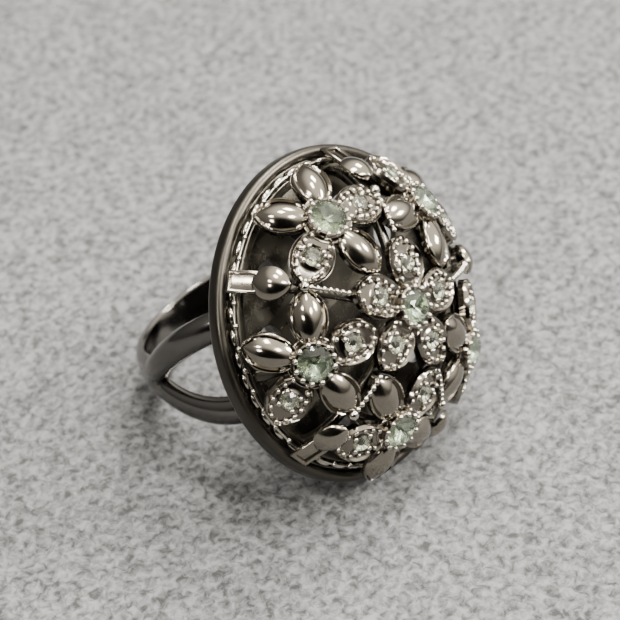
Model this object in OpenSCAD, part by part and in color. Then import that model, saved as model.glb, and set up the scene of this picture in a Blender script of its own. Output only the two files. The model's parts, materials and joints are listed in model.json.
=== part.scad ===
// Cocktail ring with an openwork flower dome on a split band.
//
// Every module is drawn in the ring's own frame: the finger hole's axis runs along Y, the dome
// faces +Z, X runs across the head, and the middle of the rim is the zero point. lay_down() then
// turns the whole ring so that it lies as it rests on a table, on the rim's edge and the band's
// side, with the centre of the finger hole as the origin and +Z up. All sizes are millimetres.

/* [Band] */
// Radius of the finger hole
finger_r = 8.65; // [7.9:0.05:10.4]
// Thickness of the band's metal
band_t = 1.4; // [1.1:0.1:1.8]
// Width of the band below the split
band_w = 4.4; // [3.6:0.2:5.4]
// Width of one branch of the split band
branch_w = 2.6; // [2.1:0.1:3.2]
// Distance from the middle of the band to a branch's centre line under the head
branch_offset = 3.9; // [3.2:0.1:4.7]
// Angle from the band's bottom at which it starts to split
split_angle = 62; // [50:1:76]
// Angle from the band's bottom at which the branches are fully apart
spread_angle = 126; // [110:1:140]

/* [Head] */
// Outer radius of the rim
rim_r = 14; // [11.6:0.1:17]
// Width of the rim's rounded section
rim_w = 1; // [0.8:0.1:1.3]
// Height of the rim's rounded section
rim_h = 1.5; // [1.4:0.1:2]
// Gap between the back plate's underside and the top of the finger hoops
saddle_gap = 1.6; // [1.2:0.1:2.4]
// Length of the saddle across the head
saddle_l = 9; // [7:0.5:11]
// Thickness of the back plate
plate_t = 0.7; // [0.5:0.1:1]
// Radius of each round piercing in the back plate
piercing_r = 1.3; // [1:0.1:1.5]

/* [Dome] */
// Height of the surface that the flowers stand on, above the frame's foot
dome_h = 7.3; // [6:0.1:8.8]
// Width of a rib of the open frame
rib_w = 0.8; // [0.6:0.1:1.1]
// Thickness of a rib of the open frame
rib_t = 0.7; // [0.5:0.1:0.9]
// How far the ribs lie below the surface that the flowers stand on
rib_drop = 0.4; // [0.3:0.05:0.6]
// Height on the dome, as an angle, of the five outer flowers
flower_lat = 42; // [38:1:46]

/* [Flowers] */
// Radius of the round stone in the middle of each flower
stone_r = 1.45; // [1.2:0.05:1.75]
// Radius of the small stone in each stone-set petal
petal_stone_r = 0.8; // [0.65:0.05:1]
// Wall of the collet round the middle stone
collet_wall = 0.3; // [0.25:0.05:0.4]
// Radius of each little ball that grips the middle stone
grip_r = 0.27; // [0.2:0.01:0.32]
// Width of a plain petal
plain_w = 3; // [2.5:0.1:3.3]
// Width of a stone-set petal
set_w = 3.4; // [2.9:0.1:3.7]
// Thickness of a petal at its edge
petal_t = 0.55; // [0.45:0.05:0.7]
// Height of a plain petal at its crown
petal_crown = 0.95; // [0.8:0.05:1.1]
// Angle that an outer flower's petals fall away from its middle
petal_fall = 13; // [11:1:15]
// Angle that the apex flower's petals fall away from its middle
apex_fall = 8; // [5:1:9]
// How far a petal reaches past the half-way line to the next flower
petal_reach_over = 0.9; // [0.3:0.05:1]

/* [Leaves and beads] */
// Width of a leaf between two flowers
leaf_w = 2.7; // [2.2:0.1:3]
// Height of a leaf at its crown
leaf_crown = 0.8; // [0.6:0.05:1]
// Radius of a bead on the beaded wires
bead_r = 0.26; // [0.2:0.01:0.3]
// Radius of the ball between a leaf's tip and its beaded wire
knob_r = 0.45; // [0.35:0.05:0.5]
// Number of oblong bars round the inside of the rim
bar_count = 44; // [36:1:50]

/* [Hidden] */
$fn = 48;
METAL = [0.44, 0.43, 0.42];
DARK_METAL = [0.25, 0.25, 0.26];
STONE = [0.74, 0.82, 0.77];

clear = 0.03;                                // gap round a piece that drops into a hole
petals = 5;
outer_flowers = 5;
OUTER_AZIMUTHS = [99.5, 172, 238.5, 306, 390.5];  // where the outer flowers stand, set by hand
LEAF_AZIMUTHS = [136, 207, 271, 348, 424];   // where the leaves and their beaded wires stand
PLAIN = "plain";
SET = "set";
OUTER_KINDS = [PLAIN, SET, PLAIN, SET, PLAIN];
APEX_KINDS = [SET, SET, SET, SET, SET];
APEX_TURN = 61;                              // its petals point between the outer flowers
OUTER_TURNS = [32, -35, 75, 250, 205];       // how far each outer flower is turned on its seat

band_r = finger_r + band_t;
plate_low = -plate_t / 2;
plate_top = plate_t / 2;
finger_depth = saddle_gap + band_r - plate_low;  // from the rim's middle plane to the hole's axis
band_half = branch_offset + branch_w / 2;

rim_in = rim_r - rim_w;
plate_r = rim_in - clear;
ledge_w = 0.8;
bar_r = 0.28;
bar_gap = 0.85;
row_r = rim_in - bar_r - clear;              // centre line of the bars and beads by the rim
row_wire_r = 0.14;
row_bead_r = 0.3;
bar_z = plate_top + bar_r;
row_wire_z = bar_z + bar_r + row_wire_r;

foot_r = row_r - bar_r - clear;              // outer radius of the frame's foot ring
foot_w = 0.75;
foot_h = 0.8;
dome_r = foot_r + 0.25;                      // radius of the flowers' surface at the foot

collet_r = stone_r + collet_wall;
grip_at = stone_r + grip_r + clear / 2;      // the grips just clear the stone's edge
base_r = collet_r + 0.4;
base_t = 0.5;
seat_t = 0.9;
seat_hole_r = 0.6 * stone_r;
girdle_z = 0.92;                             // height of a middle stone's edge above its seat
crown_h = 0.5;
edge_h = 0.14;
grips = 10;

apex_gap = norm([at_r(flower_lat), dome_h + plate_top - at_z(flower_lat)]);
side_gap = 2 * at_r(flower_lat) * sin(180 / outer_flowers);
petal_tip = min(apex_gap, side_gap) / 2 + petal_reach_over;
petal_root = 0.62 * collet_r;
petal_l = petal_tip - petal_root;
petal_stone_at = 0.53 * petal_l;             // from the petal's root

leaf_low_lat = 5;
leaf_high_lat = 37;
leaf_lift = 0.75;
leaf_t = 0.35;
leaf_foot = at_point(leaf_low_lat, leaf_lift);
leaf_top = at_point(leaf_high_lat, leaf_lift);
leaf_l = norm(leaf_top - leaf_foot);

knob_lat = leaf_high_lat + 5.5;
wire_lift = 0.62;
wire_end_lat = 90 - asin((petal_tip + bead_r + 0.12) / dome_r);

// How far the ring leans back when its rim's edge and the band's side both touch the table
lean_dy = rim_r - rim_w / 2 - band_w / 2;
lean_dz = finger_depth + band_r - (rim_h - rim_w) / 2;
lean = atan2(lean_dy, lean_dz) + asin(rim_w / 2 / norm([lean_dy, lean_dz]));

ids = [for (i = [1 : outer_flowers]) str(i)];

// ---- The dome's surface: half an ellipse turned round the Z axis ----

function at_r(lat) = dome_r * cos(lat);
function at_z(lat) = plate_top + dome_h * sin(lat);
// Angle between the surface's outward normal and the Z axis
function slope(lat) = atan2(cos(lat) / dome_r, sin(lat) / dome_h);
// Point on the dome's profile, lifted off the surface
function at_point(lat, lift = 0) =
    [at_r(lat) + lift * sin(slope(lat)), at_z(lat) + lift * cos(slope(lat))];
function flower_azimuth(i) = OUTER_AZIMUTHS[i - 1];
function leaf_azimuth(i) = LEAF_AZIMUTHS[i - 1];

module lay_down() {
    rotate([90 - lean, 0, 0]) translate([0, 0, finger_depth]) children();
}

// Stands children on the dome with local Z outwards and local X away from the apex
module on_dome(azimuth, lat, lift = 0) {
    p = at_point(lat, lift);
    rotate([0, 0, azimuth]) translate([p[0], 0, p[1]]) rotate([0, slope(lat), 0]) children();
}

// Stands children between two points of the profile: local X runs from the upper one down to the
// lower one, and local Z points outwards
module along_dome(azimuth, from, to) {
    d = to - from;
    rotate([0, 0, azimuth]) translate([from[0], 0, from[1]])
        rotate([0, -atan2(d[1], d[0]), 0]) children();
}

// ---- Band ----

// Distance of a branch's centre line from the band's middle, at an angle from the bottom
function branch_y(a) =
    branch_offset * sin(90 * min(1, max(0, (a - split_angle) / (spread_angle - split_angle))));
function outline_z(a) = -finger_depth - (finger_r + band_t / 2) * cos(a);

// The band seen from its side, in Y and Z, as one half of the outline at a time
module band_outline() {
    step = 6;
    outer = [for (a = [0 : step : 180]) [max(band_w / 2, branch_y(a) + branch_w / 2), outline_z(a)]];
    over = band_t;
    low = [band_w / 2, outline_z(0) - over];
    high = [band_half, outline_z(180) + over];
    right = concat([low], outer, [high]);
    count = len(right);
    polygon(concat(right, [for (i = [1 : count]) [-right[count - i][0], right[count - i][1]]]));
}

module window_outline() {
    step = 4;
    first = split_angle
        + (spread_angle - split_angle) * asin(branch_w / 2 / branch_offset) / 90;
    inner = [for (k = [0 : step : 100]) let (a = first + (180 - first) * k / 100)
        [max(0, branch_y(a) - branch_w / 2), outline_z(a)]];
    top = [branch_offset - branch_w / 2, outline_z(180) + band_t];
    right = concat(inner, [top]);
    count = len(right);
    polygon(concat(right, [for (i = [1 : count - 1]) [-right[count - i][0], right[count - i][1]]]));
}

// Extrudes a Y-Z outline across the whole ring
module across(width) {
    rotate([90, 0, 90]) linear_extrude(width, center = true) children();
}

module finger_axis(r, half) {
    translate([0, half, -finger_depth]) rotate([90, 0, 0]) cylinder(r = r, h = 2 * half, $fn = 96);
}

module shank() {
    color(DARK_METAL) difference() {
        intersection() {
            finger_axis(band_r, band_half);
            across(3 * band_r) band_outline();
        }
        finger_axis(finger_r, band_half + 1);
        across(3 * band_r) window_outline();
    }
}

// Bridge under the back plate: it sits on the two hoops, and its tongue fills the gap between
// them down to the finger hole
module saddle() {
    seat_depth = 0.7;
    tongue_w = 2 * branch_offset - branch_w;
    drop = saddle_gap + seat_depth;
    color(DARK_METAL) difference() {
        union() {
            difference() {
                translate([-saddle_l / 2, -band_half, plate_low - drop]) cube([saddle_l, 2 * band_half, drop]);
                finger_axis(band_r, band_half + 1);
            }
            translate([-saddle_l / 2, -tongue_w / 2, plate_low - drop - band_r])
                cube([saddle_l, tongue_w, drop + band_r - saddle_gap / 2]);
        }
        finger_axis(finger_r, band_half + 1);
    }
}

// ---- Head ----

module back_plate() {
    piercings = 10;
    ring_at = 0.66 * plate_r;
    color(DARK_METAL) difference() {
        translate([0, 0, plate_low]) cylinder(r = plate_r, h = plate_t, $fn = 96);
        for (i = [0 : piercings - 1]) rotate([0, 0, (i + 0.5) * 360 / piercings])
            translate([ring_at, 0, -plate_t]) cylinder(r = piercing_r, h = 2 * plate_t);
    }
}

module rim_band() {
    straight = rim_h - rim_w;
    color(METAL) rotate_extrude($fn = 96) {
        translate([rim_in, -straight / 2]) square([rim_w, straight]);
        for (side = [-1, 1]) translate([rim_r - rim_w / 2, side * straight / 2]) circle(d = rim_w);
        translate([rim_in - ledge_w, plate_low - 0.4]) square([ledge_w + rim_w / 2, 0.4]);
    }
}

module rim_bars() {
    pitch = 2 * PI * row_r / bar_count;
    bar_l = pitch - bar_gap;
    color(METAL) for (i = [0 : bar_count - 1]) rotate([0, 0, i * 360 / bar_count])
        translate([row_r, bar_l / 2, bar_z]) rotate([90, 0, 0]) cylinder(r = bar_r, h = bar_l, $fn = 16);
}

module rim_beads() {
    color(METAL) {
        translate([0, 0, row_wire_z]) rotate_extrude($fn = 96) translate([row_r, 0])
            circle(r = row_wire_r, $fn = 16);
        for (i = [0 : bar_count - 1]) rotate([0, 0, (i + 0.5) * 360 / bar_count])
            translate([row_r, 0, row_wire_z]) sphere(r = row_bead_r, $fn = 24);
    }
}

// ---- Open frame under the flowers ----

// A rib's profile from one height on the dome to another, as a strip below the surface
module rib(from_lat, to_lat) {
    steps = 8;
    lats = [for (k = [0 : steps]) from_lat + (to_lat - from_lat) * k / steps];
    outer = [for (lat = lats) at_point(lat, -rib_drop)];
    inner = [for (lat = lats) at_point(lat, -rib_drop - rib_t)];
    points = concat(outer, [for (k = [0 : steps]) inner[steps - k]]);
    rotate([90, 0, 0]) linear_extrude(rib_w, center = true) polygon(points);
}

module seat(azimuth, lat) {
    on_dome(azimuth, lat, -seat_t) cylinder(r = collet_r, h = seat_t);
}

module seat_hole(azimuth, lat) {
    on_dome(azimuth, lat, -2 * seat_t) cylinder(r = seat_hole_r, h = 3 * seat_t);
}

// Short post from the ribs up to the underside of a piece at the given lift
module post(azimuth, lat, r, lift) {
    low = -rib_drop - rib_t / 2;
    on_dome(azimuth, lat, low) cylinder(r = r, h = lift - low, $fn = 24);
}

module dome_frame() {
    girdle = at_point(flower_lat + 1, -rib_drop - rib_t / 2);
    color(DARK_METAL) difference() {
        union() {
            translate([0, 0, plate_top]) difference() {
                cylinder(r = foot_r, h = foot_h, $fn = 96);
                translate([0, 0, -1]) cylinder(r = foot_r - foot_w, h = foot_h + 2, $fn = 96);
            }
            rotate_extrude($fn = 96) translate(girdle - [rib_t, rib_t] / 2) square(rib_t);
            seat(0, 90);
            for (i = [1 : outer_flowers]) {
                rotate([0, 0, flower_azimuth(i)]) rib(5, flower_lat);
                rotate([0, 0, leaf_azimuth(i)]) rib(5, 90);
                seat(flower_azimuth(i), flower_lat);
                post(leaf_azimuth(i), knob_lat, 0.35, wire_lift);
                post(leaf_azimuth(i), (leaf_low_lat + leaf_high_lat) / 2, 0.45, leaf_lift);
            }
        }
        seat_hole(0, 90);
        for (i = [1 : outer_flowers]) {
            seat_hole(flower_azimuth(i), flower_lat);
            knob_at(i);
            leaf_block(i);
        }
    }
}

// ---- Flowers ----

// Outline with two pointed ends, from the zero point along X
module lens(length, width) {
    arc_r = (length * length + width * width) / (4 * width);
    translate([length / 2, 0]) intersection_for(side = [-1, 1])
        translate([0, side * (arc_r - width / 2)]) circle(r = arc_r, $fn = 96);
}

// Puffed plate with a pointed outline: edge_t thick at its ends, crown_t at its middle
module puffed(length, width, edge_t, crown_t) {
    rise = crown_t - edge_t;
    ball_r = (length * length / 4 + rise * rise) / (2 * rise);
    intersection() {
        linear_extrude(2 * crown_t) lens(length, width);
        translate([length / 2, 0, crown_t - ball_r]) sphere(r = ball_r, $fn = 96);
    }
}

module on_petal(k, turn, fall) {
    rotate([0, 0, turn + k * 360 / petals]) translate([petal_root, 0, 0]) rotate([0, fall, 0])
        children();
}

// Dished petal with a raised edge and a collar for its stone
module set_petal() {
    edge = 0.32;
    dish = 0.2;
    difference() {
        linear_extrude(petal_t + dish) lens(petal_l, set_w);
        translate([2 * edge, 0, petal_t]) linear_extrude(1) lens(petal_l - 4 * edge, set_w - 2 * edge);
    }
    translate([petal_stone_at, 0, 0]) cylinder(r = petal_stone_r + 0.16, h = petal_t + 0.12, $fn = 24);
}

// Brilliant-cut stone: a crown above its edge and a cone below it
module round_stone(r, crown, edge, below) {
    translate([0, 0, edge]) cylinder(r1 = r, r2 = 0.6 * r, h = crown);
    cylinder(r = r, h = edge);
    translate([0, 0, -below]) cylinder(r1 = 0.1 * r, r2 = r, h = below);
}

module petal_stone() {
    translate([petal_stone_at, 0, petal_t]) round_stone(petal_stone_r, 0.26, 0.12, 0.42);
}

module flower(turn, kinds, fall = petal_fall) {
    color(METAL) difference() {
        union() {
            cylinder(r = base_r, h = base_t);
            for (k = [0 : petals - 1]) on_petal(k, turn, fall) {
                if (kinds[k] == SET) set_petal();
                else puffed(petal_l, plain_w, petal_t, petal_crown);
            }
        }
        translate([0, 0, -1]) cylinder(r = collet_r + clear, h = 4);
        for (k = [0 : petals - 1]) if (kinds[k] == SET) on_petal(k, turn, fall) petal_stone();
    }
}

module petal_stones(turn, kinds, fall = petal_fall) {
    color(STONE) for (k = [0 : petals - 1]) if (kinds[k] == SET) on_petal(k, turn, fall) petal_stone();
}

module middle_stone() {
    color(STONE) translate([0, 0, girdle_z]) round_stone(stone_r, crown_h, edge_h, girdle_z - 0.05);
}

module collet() {
    color(METAL) {
        difference() {
            cylinder(r = collet_r, h = girdle_z + edge_h);
            translate([0, 0, -1]) cylinder(r = stone_r - 0.25, h = 4);
            middle_stone();
        }
        for (i = [0 : grips - 1]) rotate([0, 0, i * 360 / grips])
            translate([grip_at, 0, girdle_z + edge_h - 0.6 * grip_r]) sphere(r = grip_r, $fn = 24);
    }
}

// ---- Leaves and beaded wires between the flowers ----

module leaf(i) {
    color(METAL) along_dome(leaf_azimuth(i), leaf_top, leaf_foot)
        puffed(leaf_l, leaf_w, leaf_t, leaf_crown);
}

// The room that a leaf takes, for cutting its post to length
module leaf_block(i) {
    along_dome(leaf_azimuth(i), leaf_top, leaf_foot) translate([0, -leaf_w, 0])
        cube([leaf_l, 2 * leaf_w, 4]);
}

module knob_at(i) {
    on_dome(leaf_azimuth(i), knob_lat, wire_lift) sphere(r = knob_r, $fn = 24);
}

module beaded_wire(i) {
    from = at_point(wire_end_lat, wire_lift);
    to = at_point(knob_lat, wire_lift);
    length = norm(to - from);
    beads = floor((length - knob_r) / (1.7 * bead_r));
    color(METAL) {
        knob_at(i);
        along_dome(leaf_azimuth(i), from, to) {
            rotate([0, 90, 0]) cylinder(r = 0.6 * bead_r, h = length, $fn = 16);
            for (k = [0 : beads - 1]) translate([(length - knob_r) * k / beads, 0, 0])
                sphere(r = bead_r, $fn = 24);
        }
    }
}

module outer(i) {
    on_dome(flower_azimuth(i), flower_lat) children();
}

lay_down() {
    shank();
    saddle();
    back_plate();
    rim_band();
    rim_bars();
    rim_beads();
    dome_frame();
    on_dome(0, 90) flower(APEX_TURN, APEX_KINDS, apex_fall);  // apex_flower
    on_dome(0, 90) collet();  // apex_collet
    on_dome(0, 90) middle_stone();  // apex_stone
    on_dome(0, 90) petal_stones(APEX_TURN, APEX_KINDS, apex_fall);  // apex_petal_stones
    for (i = [1 : outer_flowers]) {
        outer(i) flower(OUTER_TURNS[i - 1], OUTER_KINDS);
        outer(i) collet();
        outer(i) middle_stone();
        outer(i) petal_stones(OUTER_TURNS[i - 1], OUTER_KINDS);
        leaf(i);
        beaded_wire(i);
    }
}
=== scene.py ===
"""Cocktail ring: an openwork dome of stone-set flowers on a split band.

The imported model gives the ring's sizes and place. Every shape is made in the ring's own frame, in
millimetres: the finger hole's axis runs along Y, the dome faces +Z, and the middle of the rim is
the zero point. RingSizes.lay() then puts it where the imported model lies.
"""

from __future__ import annotations

import json
import logging
import math
from dataclasses import dataclass
from enum import Enum
from typing import Callable, Iterable, Sequence

import bmesh
import bpy
from mathutils import Matrix, Vector

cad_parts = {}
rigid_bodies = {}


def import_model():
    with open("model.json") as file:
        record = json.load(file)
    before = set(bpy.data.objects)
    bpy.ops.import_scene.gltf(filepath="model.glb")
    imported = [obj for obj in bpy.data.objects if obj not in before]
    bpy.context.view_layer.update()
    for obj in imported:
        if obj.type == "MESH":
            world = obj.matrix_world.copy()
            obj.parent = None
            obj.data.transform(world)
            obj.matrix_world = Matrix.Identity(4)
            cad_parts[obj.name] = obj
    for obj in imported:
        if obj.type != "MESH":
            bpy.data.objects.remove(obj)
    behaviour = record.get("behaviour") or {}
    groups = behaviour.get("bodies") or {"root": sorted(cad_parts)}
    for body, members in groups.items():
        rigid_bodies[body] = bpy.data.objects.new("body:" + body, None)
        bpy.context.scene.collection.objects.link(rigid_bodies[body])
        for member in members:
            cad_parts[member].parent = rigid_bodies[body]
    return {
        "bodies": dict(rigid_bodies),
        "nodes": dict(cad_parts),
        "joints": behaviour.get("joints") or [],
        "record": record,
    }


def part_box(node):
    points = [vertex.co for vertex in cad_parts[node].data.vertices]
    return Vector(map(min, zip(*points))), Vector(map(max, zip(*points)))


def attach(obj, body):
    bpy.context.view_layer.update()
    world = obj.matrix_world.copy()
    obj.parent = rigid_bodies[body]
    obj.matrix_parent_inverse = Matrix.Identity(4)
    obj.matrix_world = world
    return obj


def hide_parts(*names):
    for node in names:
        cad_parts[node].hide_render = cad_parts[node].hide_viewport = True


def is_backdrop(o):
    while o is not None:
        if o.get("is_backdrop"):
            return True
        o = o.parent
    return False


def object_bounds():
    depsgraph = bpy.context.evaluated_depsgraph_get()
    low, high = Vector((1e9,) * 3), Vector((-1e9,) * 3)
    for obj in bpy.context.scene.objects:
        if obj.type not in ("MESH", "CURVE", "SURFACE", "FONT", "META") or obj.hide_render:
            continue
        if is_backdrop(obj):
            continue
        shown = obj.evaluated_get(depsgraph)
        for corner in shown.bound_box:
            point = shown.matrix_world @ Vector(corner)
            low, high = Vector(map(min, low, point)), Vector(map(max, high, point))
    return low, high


LOG = logging.getLogger("cocktail_ring")
MM = 0.001
PACKED_BEAD_R = 0.3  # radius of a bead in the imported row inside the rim, in millimetres

Point = tuple[float, float, float]
Profile = Sequence[tuple[float, float]]


# ---------------------------------------------------------------------------------------------
# Sizes and places
# ---------------------------------------------------------------------------------------------


@dataclass(frozen=True)
class RingSizes:
    """Sizes that the sub-assemblies share, in millimetres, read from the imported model."""

    lean: float
    depth: float
    finger_r: float
    band_r: float
    rim_r: float
    plate_r: float
    foot_r: float
    row_r: float
    saddle_half: float

    @classmethod
    def from_frame(cls, record: dict) -> RingSizes:
        """Reads the sizes from the mounts and the nodes' boxes.

        Args:
            record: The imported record.

        Returns:
            The ring's sizes.
        """
        bore = next(mount for mount in record["mounts"] if mount["name"] == "finger_hole")
        low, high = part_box("rim_band")
        middle = (low + high) / 2
        nodes = ("shank", "rim_band", "back_plate", "dome_frame", "rim_beads", "saddle")
        half = {node: (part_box(node)[1].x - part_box(node)[0].x) / 2 / MM for node in nodes}
        return cls(
            lean=math.atan2(bore["axis"][1], bore["axis"][2]),
            depth=math.hypot(middle.y, middle.z) / MM,
            finger_r=bore["dims"]["r_mm"],
            band_r=half["shank"],
            rim_r=half["rim_band"],
            plate_r=half["back_plate"],
            foot_r=half["dome_frame"],
            row_r=half["rim_beads"] - PACKED_BEAD_R,
            saddle_half=half["saddle"],
        )

    def lay(self) -> Matrix:
        """Matrix from the ring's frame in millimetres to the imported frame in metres."""
        turn = Matrix.Rotation(math.pi / 2 - self.lean, 4, "X")
        return Matrix.Scale(MM, 4) @ turn @ Matrix.Translation((0, 0, self.depth))


@dataclass(frozen=True)
class Dome:
    """The surface that the flowers stand on: half an ellipse turned round Z."""

    radius: float
    foot_z: float = 0.35
    height: float = 7.3

    def slope(self, lat: float) -> float:
        """Angle between the outward normal and Z, for a height on the dome given as an angle."""
        return math.atan2(math.cos(lat) / self.radius, math.sin(lat) / self.height)

    def point(self, lat: float, lift: float = 0.0) -> Vector:
        """Point on the profile, lifted off the surface, in the X-Z plane."""
        slope = self.slope(lat)
        return Vector((
            self.radius * math.cos(lat) + lift * math.sin(slope),
            0.0,
            self.foot_z + self.height * math.sin(lat) + lift * math.cos(slope),
        ))

    def stand(self, azimuth: float, lat: float, lift: float = 0.0) -> Matrix:
        """Place on the dome with local Z outwards and local X away from the apex."""
        return (Matrix.Rotation(azimuth, 4, "Z") @ Matrix.Translation(self.point(lat, lift))
                @ Matrix.Rotation(self.slope(lat), 4, "Y"))

    def along(self, azimuth: float, upper: Vector, lower: Vector) -> Matrix:
        """Place at a profile point with local X down to a lower one and local Z outwards."""
        run = lower - upper
        return (Matrix.Rotation(azimuth, 4, "Z") @ Matrix.Translation(upper)
                @ Matrix.Rotation(-math.atan2(run.z, run.x), 4, "Y"))


# ---------------------------------------------------------------------------------------------
# Mesh making
# ---------------------------------------------------------------------------------------------


class MeshBuilder:
    """Gathers shapes in the ring's frame and turns them into one finished piece."""

    WELD = 0.0004  # corners nearer than this, in millimetres, become one
    SLIVER = 0.0002  # edges shorter than this, in millimetres, are dissolved

    def __init__(self) -> None:
        """Starts with no shape."""
        self.points: list[Vector] = []
        self.faces: list[tuple[int, ...]] = []
        self.slots: list[int] = []
        self.hollow_shade: list[float] = []

    def add(self, points: Iterable[Sequence[float]], faces: Iterable[Sequence[int]],
            place: Matrix | None = None, slot: int = 0,
            hollow_shade: Sequence[float] | None = None) -> None:
        """Adds one shape.

        Args:
            points: Its corners in local millimetres.
            faces: Its faces as indices of those corners.
            place: Where it stands in the ring's frame.
            slot: Index of its material.
            hollow_shade: How much painted shade each corner gets, from 0 to 1, more the deeper it
                lies in a dip.
        """
        first = len(self.points)
        place = place or Matrix.Identity(4)
        new = [place @ Vector(p) for p in points]
        self.points += new
        self.hollow_shade += list(hollow_shade) if hollow_shade else [0.0] * len(new)
        for face in faces:
            self.faces.append(tuple(first + i for i in face))
            self.slots.append(slot)

    def add_mesh(self, mesh: bpy.types.Mesh, place: Matrix | None = None, slot: int = 0) -> None:
        """Adds a plain mesh in one material and removes it from the file."""
        points = [v.co for v in mesh.vertices]
        self.add(points, [tuple(p.vertices) for p in mesh.polygons], place, slot)
        bpy.data.meshes.remove(mesh)

    def finish(self, name: str, sizes: RingSizes, materials: Sequence[bpy.types.Material],
               sharp: float = 40.0) -> bpy.types.Object:
        """Makes the finished piece.

        Args:
            name: The piece's name.
            sizes: The ring's sizes, for its place.
            materials: One material for each slot.
            sharp: Angle in degrees above which an edge stays sharp.

        Returns:
            The piece, with its place in its mesh.
        """
        mesh = bpy.data.meshes.new(name)
        mesh.from_pydata([tuple(p) for p in self.points], [], self.faces)
        mesh.polygons.foreach_set("material_index", self.slots)
        # Painted shade: each corner's share of the dark tone that the plating paints into dips and
        # dishes.
        layer = mesh.attributes.new("hollow_shade", "FLOAT", "POINT")
        layer.data.foreach_set("value", self.hollow_shade)
        shape = bmesh.new()
        shape.from_mesh(mesh)
        bmesh.ops.remove_doubles(shape, verts=shape.verts, dist=self.WELD)
        bmesh.ops.dissolve_degenerate(shape, edges=shape.edges, dist=self.SLIVER)
        bmesh.ops.recalc_face_normals(shape, faces=shape.faces)
        shape.to_mesh(mesh)
        shape.free()
        mesh.transform(sizes.lay())
        for material in materials:
            mesh.materials.append(material)
        mesh.shade_smooth()
        mesh.set_sharp_from_angle(angle=math.radians(sharp))
        piece = bpy.data.objects.new(name, mesh)
        bpy.context.scene.collection.objects.link(piece)
        return piece


def grid_faces(rows: int, columns: int, wrap_rows: bool = False,
               wrap_columns: bool = False) -> list[tuple[int, ...]]:
    """Faces of a grid of corners stored row by row.

    Args:
        rows: Number of rows.
        columns: Number of corners in a row.
        wrap_rows: Whether the last row joins the first.
        wrap_columns: Whether each row closes on itself.

    Returns:
        The faces, four corners each.
    """
    faces = []
    for r in range(rows if wrap_rows else rows - 1):
        for c in range(columns if wrap_columns else columns - 1):
            r2, c2 = (r + 1) % rows, (c + 1) % columns
            faces.append((r * columns + c, r * columns + c2, r2 * columns + c2, r2 * columns + c))
    return faces


def lathe(profile: Profile, segments: int) -> tuple[list[Point], list[tuple[int, ...]]]:
    """Turns a closed profile of radius and height round the local Z axis.

    Args:
        profile: The closed profile's points.
        segments: Number of steps round the axis.

    Returns:
        Corners and faces.
    """
    points = []
    for s in range(segments):
        a = 2 * math.pi * s / segments
        points += [(r * math.cos(a), r * math.sin(a), z) for r, z in profile]
    return points, grid_faces(segments, len(profile), wrap_rows=True, wrap_columns=True)


def rounded_profile(low: tuple[float, float], high: tuple[float, float], corner: float,
                    steps: int = 4) -> list[tuple[float, float]]:
    """Rectangle with rounded corners, as a closed profile.

    Args:
        low: Its lowest radius and height.
        high: Its highest radius and height.
        corner: Radius of its corners.
        steps: Steps round each corner.

    Returns:
        The profile's points.
    """
    points = []
    for quarter, (x, z) in enumerate(((high[0], high[1]), (low[0], high[1]),
                                      (low[0], low[1]), (high[0], low[1]))):
        cx = x - corner if quarter in (0, 3) else x + corner
        cz = z - corner if quarter in (0, 1) else z + corner
        for k in range(steps + 1):
            a = math.pi / 2 * (quarter + k / steps)
            points.append((cx + corner * math.cos(a), cz + corner * math.sin(a)))
    return points


def smooth_step(low: float, high: float, value: float) -> float:
    """Rises smoothly from 0 at low to 1 at high."""
    t = min(1.0, max(0.0, (value - low) / (high - low)))
    return t * t * (3 - 2 * t)


# ---------------------------------------------------------------------------------------------
# Node trees
# ---------------------------------------------------------------------------------------------


def set_inputs(node: bpy.types.Node, values: dict[str, object]) -> None:
    """Sets a node's inputs by their names."""
    for name, value in values.items():
        node.inputs[name].default_value = value


def add_node(tree: bpy.types.NodeTree, kind: str, inputs: dict[str, object] | None = None,
             **settings: object) -> bpy.types.Node:
    """Adds a node to a tree.

    Args:
        tree: The tree.
        kind: The node's type.
        inputs: Values of its inputs by name.
        **settings: Its own settings.

    Returns:
        The node.
    """
    node = tree.nodes.new(kind)
    for name, value in settings.items():
        setattr(node, name, value)
    set_inputs(node, inputs or {})
    return node


def add_links(tree: bpy.types.NodeTree,
              *links: tuple[bpy.types.Node, str, bpy.types.Node, str | int]) -> None:
    """Links outputs to inputs, each link given as node, output, node and input."""
    for source, output, target, entry in links:
        tree.links.new(source.outputs[output], target.inputs[entry])


def new_material(name: str) -> tuple[bpy.types.Material, bpy.types.NodeTree, bpy.types.Node]:
    """Makes a material and returns it with its node tree and its shader."""
    material = bpy.data.materials.new(name)
    material.use_nodes = True
    return material, material.node_tree, material.node_tree.nodes["Principled BSDF"]


# ---------------------------------------------------------------------------------------------
# Geometry Nodes
# ---------------------------------------------------------------------------------------------


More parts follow.
